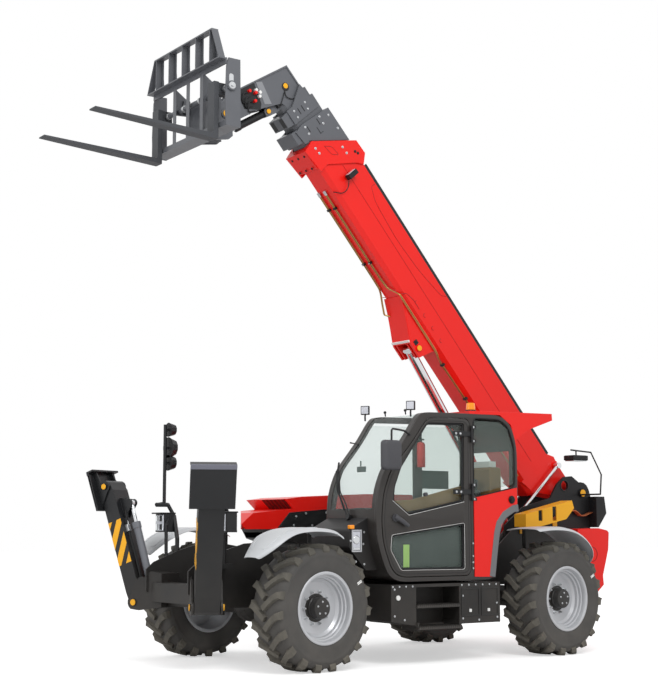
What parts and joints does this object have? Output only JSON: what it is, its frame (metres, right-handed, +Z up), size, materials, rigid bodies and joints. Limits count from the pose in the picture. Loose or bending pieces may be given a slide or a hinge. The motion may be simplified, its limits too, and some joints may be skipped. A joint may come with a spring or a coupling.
{
  "type": "telescopic handler",
  "caption": "Telescopic handler: offset cab, side engine pod, four steered wheels, raised telescopic boom with pallet forks, folding front stabilisers.",
  "frame": {"origin": "on the ground under the middle of the machine's bounding box", "axes": "+X forward, +Y to the driver's left, +Z up"},
  "size_m": [6.6306, 2.5906, 6.0637],
  "materials": {
    "red_paint": "gloss",
    "black_paint": "satin",
    "grey_paint": "satin",
    "silver_paint": "satin",
    "fender_grey": "satin",
    "yellow_paint": "satin",
    "chrome": "polished",
    "tyre": "matte",
    "glass": "clear",
    "cloth": "matte",
    "engine": "matte",
    "black_plastic": "matte",
    "steel": "matte"
  },
  "bodies": {
    "base": {"frame": "black_paint", "front_axle": "black_paint", "rear_axle": "black_paint", "counterweight": "red_paint", "rear_guard": "yellow_paint", "cab_frame": "black_paint", "windscreen": "glass", "right_window": "glass", "quarter_window": "glass", "rear_window": "glass", "cab_panel": "red_paint", "cab_roof": "red_paint", "seat": "cloth", "dashboard": "black_plastic", "side_box": "black_plastic", "engine_pod": "black_paint", "engine_block": "engine", "lamp_guard_left": "black_paint", "lamp_guard_right": "black_paint"},
    "door": {"cab_door": "black_paint", "door_glass": "glass"},
    "hood": {"engine_hood": "red_paint"},
    "steer_front_left": {"knuckle_front_left": "black_paint", "fender_front_left": "fender_grey"},
    "wheel_front_left": {"tyre_front_left": "tyre", "rim_front_left": "silver_paint"},
    "steer_front_right": {"knuckle_front_right": "black_paint", "fender_front_right": "fender_grey"},
    "wheel_front_right": {"tyre_front_right": "tyre", "rim_front_right": "silver_paint"},
    "steer_rear_left": {"knuckle_rear_left": "black_paint", "fender_rear_left": "fender_grey"},
    "wheel_rear_left": {"tyre_rear_left": "tyre", "rim_rear_left": "silver_paint"},
    "steer_rear_right": {"knuckle_rear_right": "black_paint", "fender_rear_right": "fender_grey"},
    "wheel_rear_right": {"tyre_rear_right": "tyre", "rim_rear_right": "silver_paint"},
    "boom": {"boom_outer": "red_paint"},
    "boom_second": {"boom_second": "grey_paint"},
    "boom_third": {"boom_third": "grey_paint"},
    "boom_nose": {"boom_nose": "grey_paint"},
    "carriage": {"quick_hitch": "grey_paint", "fork_frame": "grey_paint", "fork_left": "steel", "fork_right": "steel"},
    "lift_barrel": {"lift_barrel": "black_paint"},
    "lift_rod": {"lift_rod": "chrome"},
    "comp_barrel": {"comp_barrel": "black_paint"},
    "comp_rod": {"comp_rod": "chrome"},
    "tilt_barrel": {"tilt_barrel": "black_paint"},
    "tilt_rod": {"tilt_rod": "chrome"},
    "leg_left": {"leg_left": "black_paint"},
    "foot_left": {"foot_left": "black_paint"},
    "leg_barrel_left": {"leg_barrel_left": "black_paint"},
    "leg_rod_left": {"leg_rod_left": "chrome"},
    "leg_right": {"leg_right": "black_paint"},
    "foot_right": {"foot_right": "black_paint"},
    "leg_barrel_right": {"leg_barrel_right": "black_paint"},
    "leg_rod_right": {"leg_rod_right": "chrome"}
  },
  "joints": [
    {"name": "boom_lift", "type": "hinge", "parent": "base", "child": "boom", "pos_m": [-3.04533, -0.02268, 1.7], "axis": [0, -1, 0], "range_deg": [-51.7, 15.8]},
    {"name": "lift_swing", "type": "hinge", "parent": "base", "child": "lift_barrel", "pos_m": [-2.34533, -0.02268, 0.96], "axis": [0, -1, 0], "range_deg": [-55.89, 18.2]},
    {"name": "lift_stroke", "type": "slide", "parent": "lift_barrel", "child": "lift_rod", "axis": [0.5747, 0, 0.8184], "range_m": [-0.8824, 0.2866]},
    {"name": "comp_swing", "type": "hinge", "parent": "base", "child": "comp_barrel", "pos_m": [-1.62533, 0.18832, 0.985], "axis": [0, -1, 0], "range_deg": [-2.07, 5.98]},
    {"name": "comp_stroke", "type": "slide", "parent": "comp_barrel", "child": "comp_rod", "axis": [-0.7353, 0, 0.6778], "range_m": [-0.3473, 0.1136]},
    {"name": "extend_second", "type": "slide", "parent": "boom", "child": "boom_second", "axis": [0.6534, 0, 0.757], "range_m": [0, 3.45]},
    {"name": "extend_third", "type": "slide", "parent": "boom_second", "child": "boom_third", "axis": [0.6534, 0, 0.757], "range_m": [0, 3.45]},
    {"name": "extend_nose", "type": "slide", "parent": "boom_third", "child": "boom_nose", "axis": [0.6534, 0, 0.757], "range_m": [0, 3.45]},
    {"name": "carriage_tilt", "type": "hinge", "parent": "boom_nose", "child": "carriage", "pos_m": [1.66733, -0.02268, 5.3997], "axis": [0, -1, 0], "range_deg": [-54, 56]},
    {"name": "tilt_swing", "type": "hinge", "parent": "boom_nose", "child": "tilt_barrel", "pos_m": [1.11464, -0.02268, 5.53991], "axis": [0, -1, 0], "range_deg": [-7.6, 7.86]},
    {"name": "tilt_stroke", "type": "slide", "parent": "tilt_barrel", "child": "tilt_rod", "axis": [0.8513, 0, -0.5247], "range_m": [-0.158, 0.1635]},
    {"name": "steer_front_left", "type": "hinge", "parent": "base", "child": "steer_front_left", "pos_m": [1.23467, 0.77732, 0.575], "axis": [0, 0, 1], "range_deg": [-36.4, 23.6]},
    {"name": "spin_front_left", "type": "hinge", "parent": "steer_front_left", "child": "wheel_front_left", "pos_m": [1.21199, 0.97955, 0.575], "axis": [-0.1115, 0.9938, 0], "continuous": true},
    {"name": "steer_front_right", "type": "hinge", "parent": "base", "child": "steer_front_right", "pos_m": [1.23467, -0.82268, 0.575], "axis": [0, 0, 1], "range_deg": [-36.4, 23.6]},
    {"name": "spin_front_right", "type": "hinge", "parent": "steer_front_right", "child": "wheel_front_right", "pos_m": [1.25736, -1.02491, 0.575], "axis": [-0.1115, 0.9938, 0], "continuous": true},
    {"name": "steer_rear_left", "type": "hinge", "parent": "base", "child": "steer_rear_left", "pos_m": [-1.82533, 0.77732, 0.575], "axis": [0, 0, 1], "range_deg": [-36.4, 23.6]},
    {"name": "spin_rear_left", "type": "hinge", "parent": "steer_rear_left", "child": "wheel_rear_left", "pos_m": [-1.84801, 0.97955, 0.575], "axis": [-0.1115, 0.9938, 0], "continuous": true},
    {"name": "steer_rear_right", "type": "hinge", "parent": "base", "child": "steer_rear_right", "pos_m": [-1.82533, -0.82268, 0.575], "axis": [0, 0, 1], "range_deg": [-36.4, 23.6]},
    {"name": "spin_rear_right", "type": "hinge", "parent": "steer_rear_right", "child": "wheel_rear_right", "pos_m": [-1.80265, -1.02491, 0.575], "axis": [-0.1115, 0.9938, 0], "continuous": true},
    {"name": "door_swing", "type": "hinge", "parent": "base", "child": "door", "pos_m": [-0.63333, 1.12732, 1.6], "axis": [0, 0, 1], "range_deg": [0, 85]},
    {"name": "hood_lift", "type": "hinge", "parent": "base", "child": "hood", "pos_m": [-1.20933, -0.80268, 1.3], "axis": [0, -1, 0], "range_deg": [0, 50]},
    {"name": "leg_swing_left", "type": "hinge", "parent": "base", "child": "leg_left", "pos_m": [2.10467, 0.59732, 0.587], "axis": [-0.9063, 0.4226, 0], "range_deg": [0, 95.5]},
    {"name": "foot_swing_left", "type": "hinge", "parent": "leg_left", "child": "foot_left", "pos_m": [2.27255, 0.95734, 1.70874], "axis": [-0.9063, 0.4226, 0], "range_deg": [-25, 0]},
    {"name": "leg_ram_swing_left", "type": "hinge", "parent": "base", "child": "leg_barrel_left", "pos_m": [2.06875, 0.52029, 0.787], "axis": [-0.9063, 0.4226, 0], "range_deg": [-2.17, 100.44]},
    {"name": "leg_ram_stroke_left", "type": "slide", "parent": "leg_barrel_left", "child": "leg_rod_left", "axis": [0.1285, 0.2756, 0.9527], "range_m": [-0.0084, 0.3259]},
    {"name": "leg_swing_right", "type": "hinge", "parent": "base", "child": "leg_right", "pos_m": [2.10467, -0.64268, 0.587], "axis": [0.9063, 0.4226, 0], "range_deg": [0, 95.5]},
    {"name": "foot_swing_right", "type": "hinge", "parent": "leg_right", "child": "foot_right", "pos_m": [2.27255, -1.00269, 1.70874], "axis": [0.9063, 0.4226, 0], "range_deg": [-25, 0]},
    {"name": "leg_ram_swing_right", "type": "hinge", "parent": "base", "child": "leg_barrel_right", "pos_m": [2.06875, -0.56564, 0.787], "axis": [0.9063, 0.4226, 0], "range_deg": [-2.17, 100.44]},
    {"name": "leg_ram_stroke_right", "type": "slide", "parent": "leg_barrel_right", "child": "leg_rod_right", "axis": [0.1285, -0.2756, 0.9527], "range_m": [-0.0084, 0.3259]}
  ],
  "couplings": [
    {"joint": "lift_swing", "follows": "boom_lift", "ratio": 1.0497},
    {"joint": "lift_stroke", "follows": "boom_lift", "m_per_rad": 0.9509},
    {"joint": "comp_swing", "follows": "boom_lift", "ratio": -0.1089},
    {"joint": "comp_stroke", "follows": "boom_lift", "m_per_rad": 0.3729},
    {"joint": "extend_third", "follows": "extend_second", "ratio": 1},
    {"joint": "extend_nose", "follows": "extend_second", "ratio": 1},
    {"joint": "tilt_swing", "follows": "carriage_tilt", "ratio": 0.1316},
    {"joint": "tilt_stroke", "follows": "carriage_tilt", "m_per_rad": 0.159},
    {"joint": "steer_front_right", "follows": "steer_front_left", "ratio": 1},
    {"joint": "steer_rear_right", "follows": "steer_rear_left", "ratio": 1},
    {"joint": "leg_ram_swing_left", "follows": "leg_swing_left", "ratio": 1.029},
    {"joint": "leg_ram_stroke_left", "follows": "leg_swing_left", "m_per_rad": 0.1905},
    {"joint": "leg_ram_swing_right", "follows": "leg_swing_right", "ratio": 1.029},
    {"joint": "leg_ram_stroke_right", "follows": "leg_swing_right", "m_per_rad": 0.1905}
  ]
}
